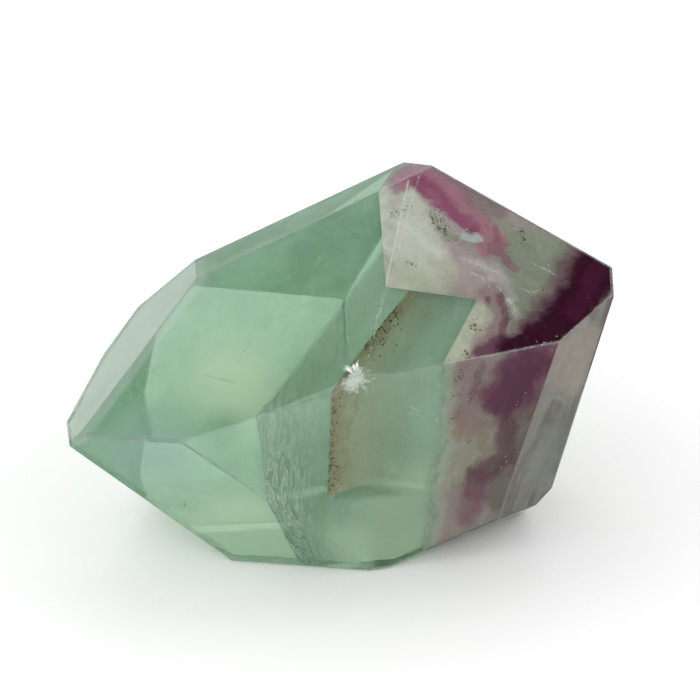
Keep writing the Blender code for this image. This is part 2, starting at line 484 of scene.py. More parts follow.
def keep_inside(mesh, plane, close=True):
    """Cut everything beyond a plane off a mesh, and close the cut."""
    outward, distance = plane
    cut = bmesh.ops.bisect_plane(
        mesh,
        geom=mesh.verts[:] + mesh.edges[:] + mesh.faces[:],
        dist=1e-8,
        plane_co=outward * distance,
        plane_no=outward,
        clear_outer=True,
    )
    rim = [item for item in cut["geom_cut"] if isinstance(item, bmesh.types.BMEdge)]
    if close and rim:
        bmesh.ops.holes_fill(mesh, edges=rim, sides=0)


def cut_block(planes):
    """Return the solid that lies inside every plane."""
    block = bmesh.new()
    bmesh.ops.create_cube(block, size=0.2)
    for plane in planes:
        keep_inside(block, plane)
    bmesh.ops.remove_doubles(block, verts=block.verts[:], dist=1e-6)
    return block


def add_object(name, mesh_data):
    """Put a finished mesh in the scene as a named piece."""
    piece = bpy.data.objects.new(name, mesh_data)
    bpy.context.scene.collection.objects.link(piece)
    return piece


def from_bmesh(name, mesh):
    """Turn an edited mesh into a named piece."""
    data = bpy.data.meshes.new(name)
    mesh.to_mesh(data)
    mesh.free()
    return add_object(name, data)


def apply_modifiers(piece):
    """Bake a piece's modifiers into its mesh."""
    graph = bpy.context.evaluated_depsgraph_get()
    solid = bpy.data.meshes.new_from_object(piece.evaluated_get(graph))
    old = piece.data
    piece.modifiers.clear()
    piece.data = solid
    bpy.data.meshes.remove(old)


def combine(piece, other, operation):
    """Join another solid to a piece, or cut it away, and use the other up."""
    change = piece.modifiers.new("combine", "BOOLEAN")
    change.operation = operation
    change.solver = "EXACT"
    change.object = other
    apply_modifiers(piece)
    bpy.data.objects.remove(other, do_unlink=True)


def shade_smooth(mesh):
    """Shade every face of an edited mesh smoothly."""
    for face in mesh.faces:
        face.smooth = True


def mark_gap(piece, name, planes):
    """Store how far each point lies under the nearest of some planes."""
    layer = piece.data.attributes.new(name, "FLOAT", "POINT")
    for index, vertex in enumerate(piece.data.vertices):
        layer.data[index].value = gap_to(planes, vertex.co) / MM


def gap_to(planes, spot):
    """Return how far a place lies under the nearest of some planes."""
    return min(distance - direction.dot(spot) for direction, distance in planes)


def finish_piece(piece, material):
    """Give a piece its finish and let it ride with the stone."""
    piece.data.materials.clear()
    piece.data.materials.append(material)
    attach(piece, BODY)
    return piece


def wrap_corners(corners, radius, divisions):
    """Wrap a tight skin round a ball at every corner, which rounds each arris."""
    ball = bmesh.new()
    bmesh.ops.create_icosphere(ball, subdivisions=divisions, radius=radius)
    offsets = [vertex.co.copy() for vertex in ball.verts]
    ball.free()
    skin = bmesh.new()
    for corner in corners:
        for offset in offsets:
            skin.verts.new(corner + offset)
    wrapped = bmesh.ops.convex_hull(skin, input=skin.verts[:])
    inside = [item for item in wrapped["geom_interior"] if isinstance(item, bmesh.types.BMVert)]
    bmesh.ops.delete(skin, geom=inside, context="VERTS")
    bmesh.ops.dissolve_limit(
        skin, angle_limit=math.radians(0.03), verts=skin.verts[:], edges=skin.edges[:]
    )
    bmesh.ops.recalc_face_normals(skin, faces=skin.faces[:])
    return skin


# ---------------------------------------------------------------- material tools


def new_material(name):
    """Return an empty node material and its output node."""
    material = bpy.data.materials.new(name)
    material.use_nodes = True
    material.node_tree.nodes.clear()
    output = material.node_tree.nodes.new("ShaderNodeOutputMaterial")
    return material, material.node_tree, output


def add_node(tree, kind, settings=None, **inputs):
    """Add a node. Inputs are sockets to link or values to set, named by socket."""
    node = tree.nodes.new(kind)
    for name, value in (settings or {}).items():
        setattr(node, name, value)
    for name, value in inputs.items():
        key = int(name[1:]) if name[0] == "i" and name[1:].isdigit() else name.replace("_", " ")
        socket = node.inputs[key]
        if isinstance(value, bpy.types.NodeSocket):
            tree.links.new(value, socket)
        else:
            socket.default_value = value
    return node


def maths(tree, operation, a, b=0.0, c=0.0, clamp=False):
    """Add a Math node and return its result."""
    node = add_node(
        tree, "ShaderNodeMath", {"operation": operation, "use_clamp": clamp}, i0=a, i1=b, i2=c
    )
    return node.outputs[0]


def vectors(tree, operation, a, b=None, scale=None):
    """Add a Vector Math node and return its result."""
    node = add_node(tree, "ShaderNodeVectorMath", {"operation": operation}, i0=a)
    if b is not None:
        if isinstance(b, bpy.types.NodeSocket):
            tree.links.new(b, node.inputs[1])
        else:
            node.inputs[1].default_value = b
    if scale is not None:
        if isinstance(scale, bpy.types.NodeSocket):
            tree.links.new(scale, node.inputs["Scale"])
        else:
            node.inputs["Scale"].default_value = scale
    wanted = "Value" if operation in {"DOT_PRODUCT", "LENGTH", "DISTANCE"} else "Vector"
    return node.outputs[wanted]


def remap(tree, value, low, high, start=0.0, end=1.0):
    """Map a value smoothly from one range to another."""
    node = add_node(
        tree, "ShaderNodeMapRange", {"interpolation_type": "SMOOTHSTEP"},
        Value=value, From_Min=low, From_Max=high, To_Min=start, To_Max=end,
    )
    return node.outputs[0]


def clouds(tree, coordinates, size, detail=4.0, roughness=0.55, distortion=0.0):
    """Return soft noise with features of a size in millimetres."""
    node = add_node(
        tree, "ShaderNodeTexNoise", None,
        Vector=coordinates, Scale=1.0 / size, Detail=detail,
        Roughness=roughness, Distortion=distortion,
    )
    return node.outputs["Fac"]


def mix_colour(tree, amount, under, over):
    """Lay one colour over another."""
    node = tree.nodes.new("ShaderNodeMix")
    node.data_type = "RGBA"
    for index, value in ((0, amount), (6, under), (7, over)):
        socket = node.inputs[index]
        if isinstance(value, bpy.types.NodeSocket):
            tree.links.new(value, socket)
        elif isinstance(value, (int, float)):
            socket.default_value = value
        else:
            socket.default_value = (*value, 1.0)[:4]
    return node.outputs[2]


def mix_value(tree, amount, under, over):
    """Lay one value over another."""
    node = tree.nodes.new("ShaderNodeMix")
    node.data_type = "FLOAT"
    for index, value in ((0, amount), (2, under), (3, over)):
        socket = node.inputs[index]
        if isinstance(value, bpy.types.NodeSocket):
            tree.links.new(value, socket)
        else:
            socket.default_value = value
    return node.outputs[0]


def stone_millimetres(tree):
    """Return the place in the stone, in millimetres."""
    spot = add_node(tree, "ShaderNodeTexCoord").outputs["Object"]
    return vectors(tree, "SCALE", spot, scale=1.0 / MM)


def stretched(tree, spot, direction, share):
    """Squeeze coordinates along a direction, so that noise is drawn out along it."""
    direction = Vector(direction).normalized()
    along = vectors(tree, "DOT_PRODUCT", spot, direction)
    pull = vectors(tree, "SCALE", tuple(direction), scale=along)
    return vectors(tree, "ADD", spot, vectors(tree, "SCALE", pull, scale=share - 1.0))


def beyond(tree, spot, plane):
    """Return how far beyond a plane a place lies, in millimetres."""
    direction, distance = plane
    return maths(tree, "SUBTRACT", vectors(tree, "DOT_PRODUCT", spot, direction), distance / MM)


def warped(tree, coordinates, size, amount):
    """Shift coordinates about with soft noise, so that straight shapes wander."""
    node = add_node(
        tree, "ShaderNodeTexNoise", None, Vector=coordinates, Scale=1.0 / size, Detail=3.0
    )
    centred = vectors(tree, "SUBTRACT", node.outputs["Color"], (0.5, 0.5, 0.5))
    shift = vectors(tree, "SCALE", centred, scale=2.0 * amount)
    return vectors(tree, "ADD", coordinates, shift)


def set_surface(tree, output, specular=None, **inputs):
    """Add the main shader with these inputs, and wire it to the material."""
    surface = add_node(tree, "ShaderNodeBsdfPrincipled", None, **inputs)
    if specular is not None:
        surface.inputs["Specular IOR Level"].default_value = specular
    tree.links.new(surface.outputs[0], output.inputs["Surface"])


def attribute(tree, name):
    """Return the value of a mesh attribute."""
    return add_node(tree, "ShaderNodeAttribute", {"attribute_name": name}).outputs["Fac"]


def streak_group():
    """Return the node group that measures how far inside a streak a place is."""
    name = "growth streak"
    if name in bpy.data.node_groups:
        return bpy.data.node_groups[name]
    group = bpy.data.node_groups.new(name, "ShaderNodeTree")
    face = group.interface
    face.new_socket("Place", in_out="INPUT", socket_type="NodeSocketVector")
    face.new_socket("Start", in_out="INPUT", socket_type="NodeSocketVector")
    face.new_socket("Along", in_out="INPUT", socket_type="NodeSocketVector")
    face.new_socket("Width", in_out="INPUT", socket_type="NodeSocketFloat")
    face.new_socket("Feather", in_out="INPUT", socket_type="NodeSocketFloat")
    face.new_socket("Mask", in_out="OUTPUT", socket_type="NodeSocketFloat")
    entry = group.nodes.new("NodeGroupInput")
    leave = group.nodes.new("NodeGroupOutput")
    away = vectors(group, "SUBTRACT", entry.outputs[0], entry.outputs[1])
    reach = vectors(group, "DOT_PRODUCT", away, entry.outputs[2])
    whole = vectors(group, "DOT_PRODUCT", entry.outputs[2], entry.outputs[2])
    share = maths(group, "DIVIDE", reach, whole, clamp=True)
    nearest = vectors(group, "SCALE", entry.outputs[2], scale=share)
    gap = vectors(group, "DISTANCE", away, nearest)
    outer = maths(group, "ADD", entry.outputs[3], entry.outputs[4])
    mask = remap(group, gap, entry.outputs[3], outer, 1.0, 0.0)
    group.links.new(mask, leave.inputs[0])
    return group


def streak(tree, spot, name):
    """Return the mask of one named streak."""
    start, end, width, feather = STREAKS[name]
    depth = Vector(BAND_DEPTH).normalized()
    start = Vector(start) - depth * depth.dot(Vector(start))
    end = Vector(end) - depth * depth.dot(Vector(end))
    node = tree.nodes.new("ShaderNodeGroup")
    node.node_tree = streak_group()
    node.label = name
    tree.links.new(spot, node.inputs[0])
    node.inputs[1].default_value = start
    node.inputs[2].default_value = end - start
    node.inputs[3].default_value = width
    node.inputs[4].default_value = feather
    return node.outputs[0]


def brightest(tree, masks):
    """Return the strongest of several masks."""
    result = masks[0]
    for mask in masks[1:]:
        result = maths(tree, "MAXIMUM", result, mask)
    return result


# ---------------------------------------------------------------- finishes


def clear_fluorite(colours):
    """Clear green stone, highly polished, with faint drag lines from the lap."""
    material, tree, output = new_material("clear_fluorite")
    spot = stone_millimetres(tree)
    wear = attribute(tree, "wear")
    grain = clouds(tree, spot, 0.5, 3.0)
    patches = clouds(tree, spot, 9.0, 3.0)
    frost = maths(tree, "MULTIPLY", wear, remap(tree, grain, 0.35, 0.65, 0.2, 1.0))
    polish = remap(tree, patches, 0.35, 0.7, 0.012, 0.035)
    rough = mix_value(tree, frost, polish, 0.16)
    clear = mix_value(tree, frost, 1.0, 0.60)
    tint = mix_colour(tree, frost, (0.86, 0.97, 0.89), (0.98, 0.98, 0.98))
    lap = clouds(tree, spot, 5.0, 2.0)
    bump = add_node(tree, "ShaderNodeBump", None, Strength=0.25, Distance=0.00006, Height=lap)
    set_surface(
        tree, output,
        Base_Color=tint, Roughness=rough, IOR=1.434, Transmission_Weight=clear,
        Normal=bump.outputs[0],
    )
    volume = add_node(
        tree, "ShaderNodeVolumeAbsorption", None,
        Color=(*colours.body, 1.0), Density=colours.depth,
    )
    tree.links.new(volume.outputs[0], output.inputs["Volume"])
    return material


# Each row is (streaks, colour, strength): how strongly it lies on those before it.
# A name in place of a colour is one of the settings.
CROWN_BANDS = (
    (("window_a", "window_b"), (0.35, 0.37, 0.30), 0.90),
    (("lilac_top",), (0.56, 0.41, 0.44), 0.80),
    (("milk",), "milk", 1.0),
    (("milk_foot",), (0.63, 0.59, 0.52), 0.90),
    (("milk_rim",), (0.62, 0.50, 0.51), 0.55),
    (("mauve_edge",), (0.32, 0.19, 0.23), 0.75),
    (("apex_pink",), (0.36, 0.17, 0.24), 0.88),
    (("rose_a", "rose_b", "rose_c", "rose_d", "rose_e"), "rose", 0.88),
    (("core_a", "core_b", "core_c"), (0.38, 0.09, 0.20), 0.82),
    (("hook_a", "hook_b", "tail"), (0.36, 0.16, 0.22), 0.80),
    (("sky",), (0.63, 0.57, 0.56), 0.80),
    (("sky_bright",), (0.66, 0.69, 0.71), 0.80),
    (("wisp_a", "wisp_b", "wisp_c"), (0.66, 0.56, 0.58), 0.70),
    (("pink_a", "pink_b"), (0.43, 0.27, 0.31), 0.85),
    (("thread_a", "thread_b", "thread_c"), (0.25, 0.10, 0.15), 0.80),
    (("rose_foot",), (0.19, 0.07, 0.12), 0.85),
)
# The darkest bands run across the others.
CROSSING_BANDS = (
    (("halo_a", "halo_b", "halo_c", "halo_d"), (0.20, 0.08, 0.13), 0.90),
    (("deep_a", "deep_b", "deep_c", "deep_d"), "deep", 0.975),
    (("swirl",), (0.105, 0.012, 0.050), 0.75),
    (("pale_edge",), (0.68, 0.66, 0.55), 0.88),
)
CROWN_SEAMS = ((("seam_a", "seam_b"), (0.95, 0.94, 0.90), 0.70),)
FRONT_BANDS = (
    (("lilac_a", "lilac_b"), (0.31, 0.19, 0.21), 0.85),
    (("lilac_line",), (0.19, 0.08, 0.12), 0.60),
    (("lilac_c",), (0.38, 0.28, 0.28), 0.75),
    (("umber_a", "umber_b"), (0.15, 0.075, 0.08), 0.84),
    (("moss",), (0.24, 0.22, 0.18), 0.60),
    (("purple_a", "purple_b"), "purple", 0.88),
    (("plum_a", "plum_b"), (0.090, 0.0, 0.036), 0.86),
    (("rosy",), (0.33, 0.21, 0.19), 0.80),
    (("cream_a",), (0.30, 0.20, 0.18), 0.88),
    (("cream_b",), (0.37, 0.33, 0.27), 0.90),
    (("cream_c",), (0.40, 0.38, 0.32), 0.70),
    (("rust",), (0.36, 0.21, 0.12), 0.75),
    (("olive",), (0.22, 0.17, 0.10), 0.50),
    (("wine_a", "wine_b"), (0.11, 0.030, 0.055), 0.83),
    (("wine_c",), (0.16, 0.04, 0.080), 0.86),
    (("wine_d",), (0.24, 0.09, 0.14), 0.80),
)
END_BANDS = (
    (("satin_top",), (0.46, 0.37, 0.34), 0.85),
    (("satin_pale",), (0.37, 0.34, 0.31), 0.75),
    (("satin_dark",), (0.17, 0.12, 0.12), 0.75),
    (("satin_low",), (0.31, 0.305, 0.28), 0.85),
    (("satin_edge",), (0.17, 0.165, 0.15), 0.70),
)


def lay_bands(tree, level, ragged, fine, colour, bands, colours):
    """Lay soft, ragged bands over a colour, one after another.

    The stronger a band is, the less it is broken up by the fine noise.
    """
    for names, tone, strength in bands:
        if isinstance(tone, str):
            tone = tuple(getattr(colours, tone))
        mask = brightest(tree, [streak(tree, level, name) for name in names])
        mask = remap(tree, maths(tree, "ADD", mask, ragged), 0.08, 0.92)
        woven = remap(tree, fine, 0.34, 0.58, max(0.0, 2.2 * strength - 1.2), strength)
        colour = mix_colour(tree, maths(tree, "MULTIPLY", mask, woven), colour, tone)
    return colour


def band_noise(tree, level, run):
    """Return a ragged and a fine noise that are drawn out along the bands."""
    drawn = stretched(tree, level, run, 0.22)
    ragged = maths(tree, "MULTIPLY_ADD", clouds(tree, drawn, 1.1, 6.0, 0.66), 1.0, -0.50)
    return drawn, ragged, clouds(tree, drawn, 0.8, 5.0, 0.7)


def flattened(tree, spot, direction):
    """Drop the part of a place that lies along a direction."""
    along = vectors(tree, "DOT_PRODUCT", spot, direction)
    return vectors(tree, "SUBTRACT", spot, vectors(tree, "SCALE", tuple(direction), scale=along))


def banded_fluorite(
    name, colours, ground, bands, run,
    crossing=(), seams=(), wall=None, front=None, lengthwise=None,
):
    """Cloudy growth bands over a mottled ground of two colours.

    Along the wall the bands fade to the stone's green, painted lighter as painted
    light over the shade of the wall, and close to the front they thin out into
    the clear stone. A lengthwise direction combs the ground into stripes. Seams
    are drawn straight, and all other bands wander.
    """
    material, tree, output = new_material(name)
    spot = stone_millimetres(tree)
    if lengthwise:
        wander = warped(tree, spot, 6.0, 0.6)
    else:
        wander = warped(tree, warped(tree, spot, 5.0, 1.2), 1.3, 0.6)
    depth = Vector(BAND_DEPTH).normalized()
    level = flattened(tree, wander, depth)
    drawn, ragged, fine = band_noise(tree, level, run)
    if lengthwise:
        haze = clouds(tree, stretched(tree, wander, lengthwise, 0.05), 1.2, 4.0, 0.5)
    else:
        haze = clouds(tree, drawn, 3.6, 6.0, 0.6)
    colour = mix_colour(tree, remap(tree, haze, 0.40, 0.60), *ground)
    colour = lay_bands(tree, level, ragged, fine, colour, bands, colours)
    if crossing:
        rough, weave = band_noise(tree, level, CROSSING_RUN)[1:]
        colour = lay_bands(tree, level, rough, weave, colour, crossing, colours)
    if seams:
        straight = flattened(tree, spot, depth)
        colour = lay_bands(tree, straight, ragged, fine, colour, seams, colours)
    solid = 1.0
    if wall:
        inward = beyond(tree, wander, wall)
        # Near the wall the bands fade to a pale green: the stone's green, painted lighter to hide
        # the shade along the wall.
        colour = mix_colour(
            tree, remap(tree, inward, 0.0, 2.4, 0.9, 0.0), colour, (0.50, 0.57, 0.47)
        )
        under = beyond(tree, spot, flipped(front))
        solid = maths(
            tree, "MAXIMUM", remap(tree, inward, -0.5, 1.5), remap(tree, under, 3.0, 6.0)
        )
    mottled = remap(tree, clouds(tree, level, 0.6, 4.0, 0.7), 0.3, 0.7, 0.94, 1.06)
    broad = remap(tree, clouds(tree, drawn, 2.0, 3.0, 0.6), 0.34, 0.66, 0.93, 1.08)
    mottled = maths(tree, "MULTIPLY", mottled, broad)
    shade = add_node(tree, "ShaderNodeHueSaturation", None, Value=mottled, Color=colour)
    set_surface(
        tree, output, specular=0.0,
        Base_Color=shade.outputs[0], Roughness=remap(tree, fine, 0.3, 0.7, 0.45, 0.7),
        IOR=1.45, Alpha=solid,
    )
    return material


def zone_heart():
    """The deeper, greyer green part of the colour zones."""
    material, tree, output = new_material("zone_heart")
    spot = stone_millimetres(tree)
    haze = clouds(tree, spot, 3.0, 5.0, 0.6)
    colour = mix_colour(
        tree, remap(tree, haze, 0.38, 0.64), (0.17, 0.23, 0.16), (0.27, 0.28, 0.24)
    )
    set_surface(
        tree, output, specular=0.1,
        Base_Color=colour, Roughness=0.6, Alpha=remap(tree, haze, 0.3, 0.7, 0.65, 0.95),
    )
    return material


def in_front(tree, past):
    """Return a share that drops where a place lies just in front of a cleavage."""
    before = remap(tree, past, -0.4, 0.0, 1.0, 0.0)
    return maths(tree, "MAXIMUM", before, remap(tree, past, 0.5, 7.5, 0.10, 1.0))


def pale_haze(bevel, first, stained):
    """The faint milkiness of the clear stone, with a pale bloom under one bevel.

    It thickens low down into a paler haze, partly painted light that brightens the
    lower part of the stone. It turns murky beyond the first cleavage, with the murk
    painted lighter for the same reason, and it thins out in front of both cleavages.
    """
    material, tree, output = new_material("pale_haze")
    spot = stone_millimetres(tree)
    haze = clouds(tree, warped(tree, spot, 8.0, 2.0), 9.0, 4.0, 0.55)
    height = add_node(tree, "ShaderNodeSeparateXYZ", None, i0=spot).outputs[2]
    colour = mix_colour(tree, haze, (0.60, 0.82, 0.68), (0.68, 0.88, 0.74))
    solid = remap(tree, haze, 0.3, 0.7, 0.28, 0.42)
    for centre, width, tone, density in GLOWS:
        glow = remap(tree, vectors(tree, "DISTANCE", spot, centre), width * 0.2, width, 1.0, 0.0)
        colour = mix_colour(tree, glow, colour, tone)
        solid = mix_value(tree, glow, solid, density)
    # Under the point bevel the haze turns pale: partly haze, partly a painted reflection of the
    # room in that bevel.
    bloom = remap(tree, beyond(tree, spot, bevel), -2.0, -1.2)
    colour = mix_colour(tree, bloom, colour, (0.78, 0.86, 0.82))
    solid = mix_value(tree, bloom, solid, 0.46)
    foot = remap(tree, height, 11.0, 5.0)
    murk = maths(
        tree, "MULTIPLY", remap(tree, height, 19.0, 13.0),
        remap(tree, beyond(tree, spot, first), 3.5, 8.0),
    )
    # Low down the haze is paler and the murk lighter: partly haze, partly painted light that
    # brightens the lower part of the stone.
    colour = mix_colour(tree, foot, colour, (0.80, 0.95, 0.78))
    colour = mix_colour(tree, murk, colour, (0.66, 0.78, 0.62))
    solid = mix_value(tree, maths(tree, "MAXIMUM", foot, murk), solid, 0.58)
    above = remap(tree, height, 12.5, 10.0)
    low = maths(
        tree, "MULTIPLY_ADD", height, -1.0 / FOOT_DROP, FOOT_TOP / FOOT_DROP, clamp=True
    )
    bend = maths(tree, "MULTIPLY", maths(tree, "MULTIPLY", low, low), FOOT_BEND)
    past = maths(tree, "ADD", beyond(tree, spot, first), bend)
    thin = maths(
        tree, "MULTIPLY", in_front(tree, past),
        maths(tree, "MAXIMUM", in_front(tree, beyond(tree, spot, stained)), above),
    )
    set_surface(
        tree, output, specular=0.0,
        Base_Color=colour, Roughness=0.6, Alpha=maths(tree, "MULTIPLY", solid, thin),
    )
    return material


def cleavage_sheen():
    """An open cleavage inside the stone: a pale film with hackle lines at its edge."""
    material, tree, output = new_material("cleavage_sheen")
    spot = stone_millimetres(tree)
    haze = clouds(tree, spot, 8.0, 3.0, 0.5)
    edge = attribute(tree, "edge_gap")
    under = attribute(tree, "crown_gap")
    height = add_node(tree, "ShaderNodeSeparateXYZ", None, i0=spot).outputs[2]
    upright = stretched(tree, spot, (0.25, 0.1, 1.0), 0.22)
    broad = clouds(tree, upright, 3.6, 2.0)
    small = clouds(tree, upright, 1.1, 3.0, 0.6)
    phase = maths(tree, "MULTIPLY_ADD", edge, 6.0, maths(tree, "MULTIPLY", broad, 30.0))
    phase = maths(tree, "MULTIPLY_ADD", small, 9.0, phase)
    wave = maths(tree, "SINE", phase)
    near = maths(tree, "MULTIPLY_ADD", small, 5.0, maths(tree, "SUBTRACT", edge, 2.5))
    near = maths(
        tree, "MULTIPLY", remap(tree, near, 2.6, 6.0, 1.0, 0.0), remap(tree, height, 29.0, 22.0)
    )
    # The hackle lines are painted: a painted highlight on their crests and painted shade in their
    # grooves.
    crest = remap(tree, maths(tree, "ABSOLUTE", wave), 0.0, 0.5, 1.0, 0.0)
    lit = maths(tree, "MULTIPLY", crest, near)
    groove_shade = maths(tree, "MULTIPLY", remap(tree, wave, 0.45, 0.95), near)
    colour = mix_colour(
        tree, remap(tree, haze, 0.35, 0.65), (0.43, 0.52, 0.43), (0.50, 0.59, 0.50)
    )
    colour = mix_colour(tree, near, colour, (0.46, 0.58, 0.49))
    deeper = remap(tree, height, 24.0, 15.0, 0.35, 1.0)
    lit = maths(tree, "MULTIPLY", lit, deeper)
    groove_shade = maths(tree, "MULTIPLY", groove_shade, deeper)
    # Lay the painted highlight on the crests and the painted shade in the grooves, both stronger
    # low down.
    colour = mix_colour(tree, lit, colour, (0.70, 0.80, 0.71))
    colour = mix_colour(tree, groove_shade, colour, (0.29, 0.38, 0.30))
    solid = remap(tree, haze, 0.3, 0.7, 0.42, 0.58)
    solid = maths(tree, "MULTIPLY", solid, remap(tree, under, 0.1, 1.6))
    solid = mix_value(tree, near, solid, 0.72)
    solid = mix_value(tree, lit, solid, 0.85)
    bump = add_node(tree, "ShaderNodeBump", None, Strength=0.3, Distance=0.0001, Height=wave)
    set_surface(
        tree, output,
        Base_Color=colour, Roughness=remap(tree, haze, 0.35, 0.65, 0.30, 0.40),
        Alpha=solid, Normal=bump.outputs[0],
    )
    return material


def iron_stain(colours):
    """A thin brown film of iron in a cleavage, strongest along its open edge."""
    material, tree, output = new_material("iron_stain")
    spot = stone_millimetres(tree)
    edge = attribute(tree, "edge_gap")
    haze = clouds(tree, spot, 1.6, 6.0, 0.65)
    fine = clouds(tree, spot, 0.35, 4.0, 0.7)
    wavy = maths(tree, "MULTIPLY_ADD", haze, 8.0, maths(tree, "SUBTRACT", edge, 4.0))
    near = remap(tree, wavy, 0.2, 4.2, 1.0, 0.0)
    wide = remap(tree, wavy, 2.0, 14.0, 1.0, 0.0)
    colour = mix_colour(tree, near, (0.68, 0.60, 0.46), tuple(colours.stain))
    dots = maths(tree, "MULTIPLY", remap(tree, fine, 0.56, 0.66), mix_value(tree, near, 0.15, 0.9))
    colour = mix_colour(tree, dots, colour, (0.13, 0.10, 0.05))
    film = mix_value(tree, wide, 0.31, 0.66)
    film = mix_value(tree, near, film, 0.82)
    set_surface(
        tree, output, specular=0.3,
        Base_Color=colour, Roughness=0.45, Alpha=film,
    )
    return material


def white_feather():
    """Bruised stone: a mass of tiny cracks that looks white."""
    material, tree, output = new_material("white_feather")
    spot = stone_millimetres(tree)
    fine = clouds(tree, spot, 0.4, 4.0, 0.7)
    set_surface(
        tree, output,
        Base_Color=mix_colour(tree, fine, (0.75, 0.76, 0.72), (0.98, 0.97, 0.95)),
        Roughness=0.35, Alpha=remap(tree, fine, 0.35, 0.7, 0.25, 0.95),
    )
    return material


def soft_feather(name, strength):
    """Bruised stone that thins out to nothing at its edges."""
    material, tree, output = new_material(name)
    spot = stone_millimetres(tree)
    fade = attribute(tree, "fade")
    fine = clouds(tree, spot, 0.7, 5.0, 0.7)
    broken = maths(tree, "MULTIPLY_ADD", fine, 2.4, -1.2)
    solid = remap(tree, maths(tree, "ADD", fade, broken), 0.10, 0.85, 0.0, strength)
    set_surface(
        tree, output, specular=0.3,
        Base_Color=mix_colour(tree, fine, (0.72, 0.73, 0.70), (0.99, 0.99, 0.97)),
        Roughness=remap(tree, fine, 0.3, 0.7, 0.35, 0.6), Alpha=solid,
    )
    return material


def dark_hair():
    """A hair-thin crack that looks dark green."""
    material, tree, output = new_material("dark_hair")
    spot = stone_millimetres(tree)
    fade = attribute(tree, "fade")
    fine = clouds(tree, spot, 0.5, 4.0, 0.6)
    set_surface(
        tree, output,
        Base_Color=mix_colour(tree, fine, (0.07, 0.14, 0.09), (0.13, 0.22, 0.15)),
        Roughness=0.6, Alpha=maths(tree, "MULTIPLY", fade, remap(tree, fine, 0.35, 0.6, 0.2, 0.8)),
    )
    return material


def dark_speck():
    """Specks of dark brown iron ore."""
    material, tree, output = new_material("dark_speck")
    spot = stone_millimetres(tree)
    fine = clouds(tree, spot, 0.2, 3.0)
    set_surface(
        tree, output,
        Base_Color=mix_colour(
            tree, remap(tree, fine, 0.35, 0.65), (0.05, 0.04, 0.015), (0.26, 0.19, 0.08)
        ),
        Roughness=remap(tree, fine, 0.3, 0.7, 0.5, 0.8),
    )
    return material


def pale_table():
    """A plain matt white studio table with the faintest mottle."""
    material, tree, output = new_material("pale_table")
    spot = add_node(tree, "ShaderNodeTexCoord").outputs["Object"]
    mottle = add_node(tree, "ShaderNodeTexNoise", None, Vector=spot, Scale=6.0, Detail=3.0)
    colour = mix_colour(tree, mottle.outputs["Fac"], (0.90, 0.90, 0.90), (0.92, 0.92, 0.92))
    set_surface(tree, output, Base_Color=colour, Roughness=0.9)
    return material


# ---------------------------------------------------------------- pieces


def make_crystal(sizes, colours):
    """The polished skin of the stone, which everything else lies inside."""
    core = cut_block(flat_planes(sizes.polish))
    corners = [vertex.co.copy() for vertex in core.verts]
    core.free()
    skin = wrap_corners(corners, sizes.polish, 4)
    directions = [facing(turn, lean) for turn, lean in FLATS.values()]
    wear = skin.faces.layers.float.new("wear")
    skin.normal_update()
    for face in skin.faces:
        lies_flat = any(face.normal.angle(way) < math.radians(0.04) for way in directions)
        face.smooth = not lies_flat
        turns = [face.normal.angle(way) for way in directions[:2]]
        on_ridge = sum(turns) < directions[0].angle(directions[1]) + math.radians(1.0)
        if not lies_flat:
            face[wear] = RIDGE_WEAR if on_ridge else ARRIS_WEAR
    piece = from_bmesh("polished_crystal", skin)
    finish_piece(piece, clear_fluorite(colours))
    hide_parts(STONE_NODE)
    return piece


def ripple_inside(piece, planes):
    """Make inner walls wander, but leave what lies under a flat parallel to it."""
    amount, size, margin = [value * MM for value in RIPPLES[piece.name]]
    for vertex in piece.data.vertices:
        share = min(1.0, max(0.0, gap_to(planes, vertex.co) / margin))
        wave = noise.noise_vector(vertex.co / size) * amount
        fine = noise.noise_vector(vertex.co / (size * 0.3)) * amount * 0.3
        vertex.co += (wave + fine) * share


def refine(piece, grain):
    """Divide a solid into fine faces, and keep its edges sharp."""
    mesh = bmesh.new()
    mesh.from_mesh(piece.data)
    bmesh.ops.remove_doubles(mesh, verts=mesh.verts[:], dist=1e-6)
    bmesh.ops.triangulate(mesh, faces=mesh.faces[:])
    for _ in range(9):
        long = [edge for edge in mesh.edges if edge.calc_length() > grain * 1.5]
        if not long:
            break
        bmesh.ops.subdivide_edges(mesh, edges=long, cuts=1)
        bmesh.ops.triangulate(mesh, faces=[face for face in mesh.faces if len(face.verts) > 3])
    for edge in mesh.edges:
        edge.smooth = edge.is_manifold and edge.calc_face_angle() < math.radians(20.0)
    shade_smooth(mesh)
    mesh.to_mesh(piece.data)
    mesh.free()


def cap_planes():
    """Return the side and the floor of the milky cap."""
    side = line_plane(CAP_CORNER, CAP_SIDE_LINE, CAP_SIDE_DEPTH, (-1.0, 0.0, 0.0))
    floor = line_plane(CAP_CORNER, CAP_FLOOR_LINE, CAP_FLOOR_DEPTH, (0.0, 0.0, -1.0))
    return side, floor


def share_out_bands(zone, front, end, wall):
    """Give each side of the colour zones its own bands. The wall has the front's."""
    for face in zone.data.polygons:
        on_wall = abs(wall[0].dot(face.center) - wall[1]) < 1.5 * MM
        if face.normal.dot(front) > 0.995 or (on_wall and face.normal.dot(wall[0]) < -0.6):
            face.material_index = 1
        elif face.normal.dot(end) > 0.995:
            face.material_index = 2
        elif face.normal.z < -0.4:
            face.material_index = 3


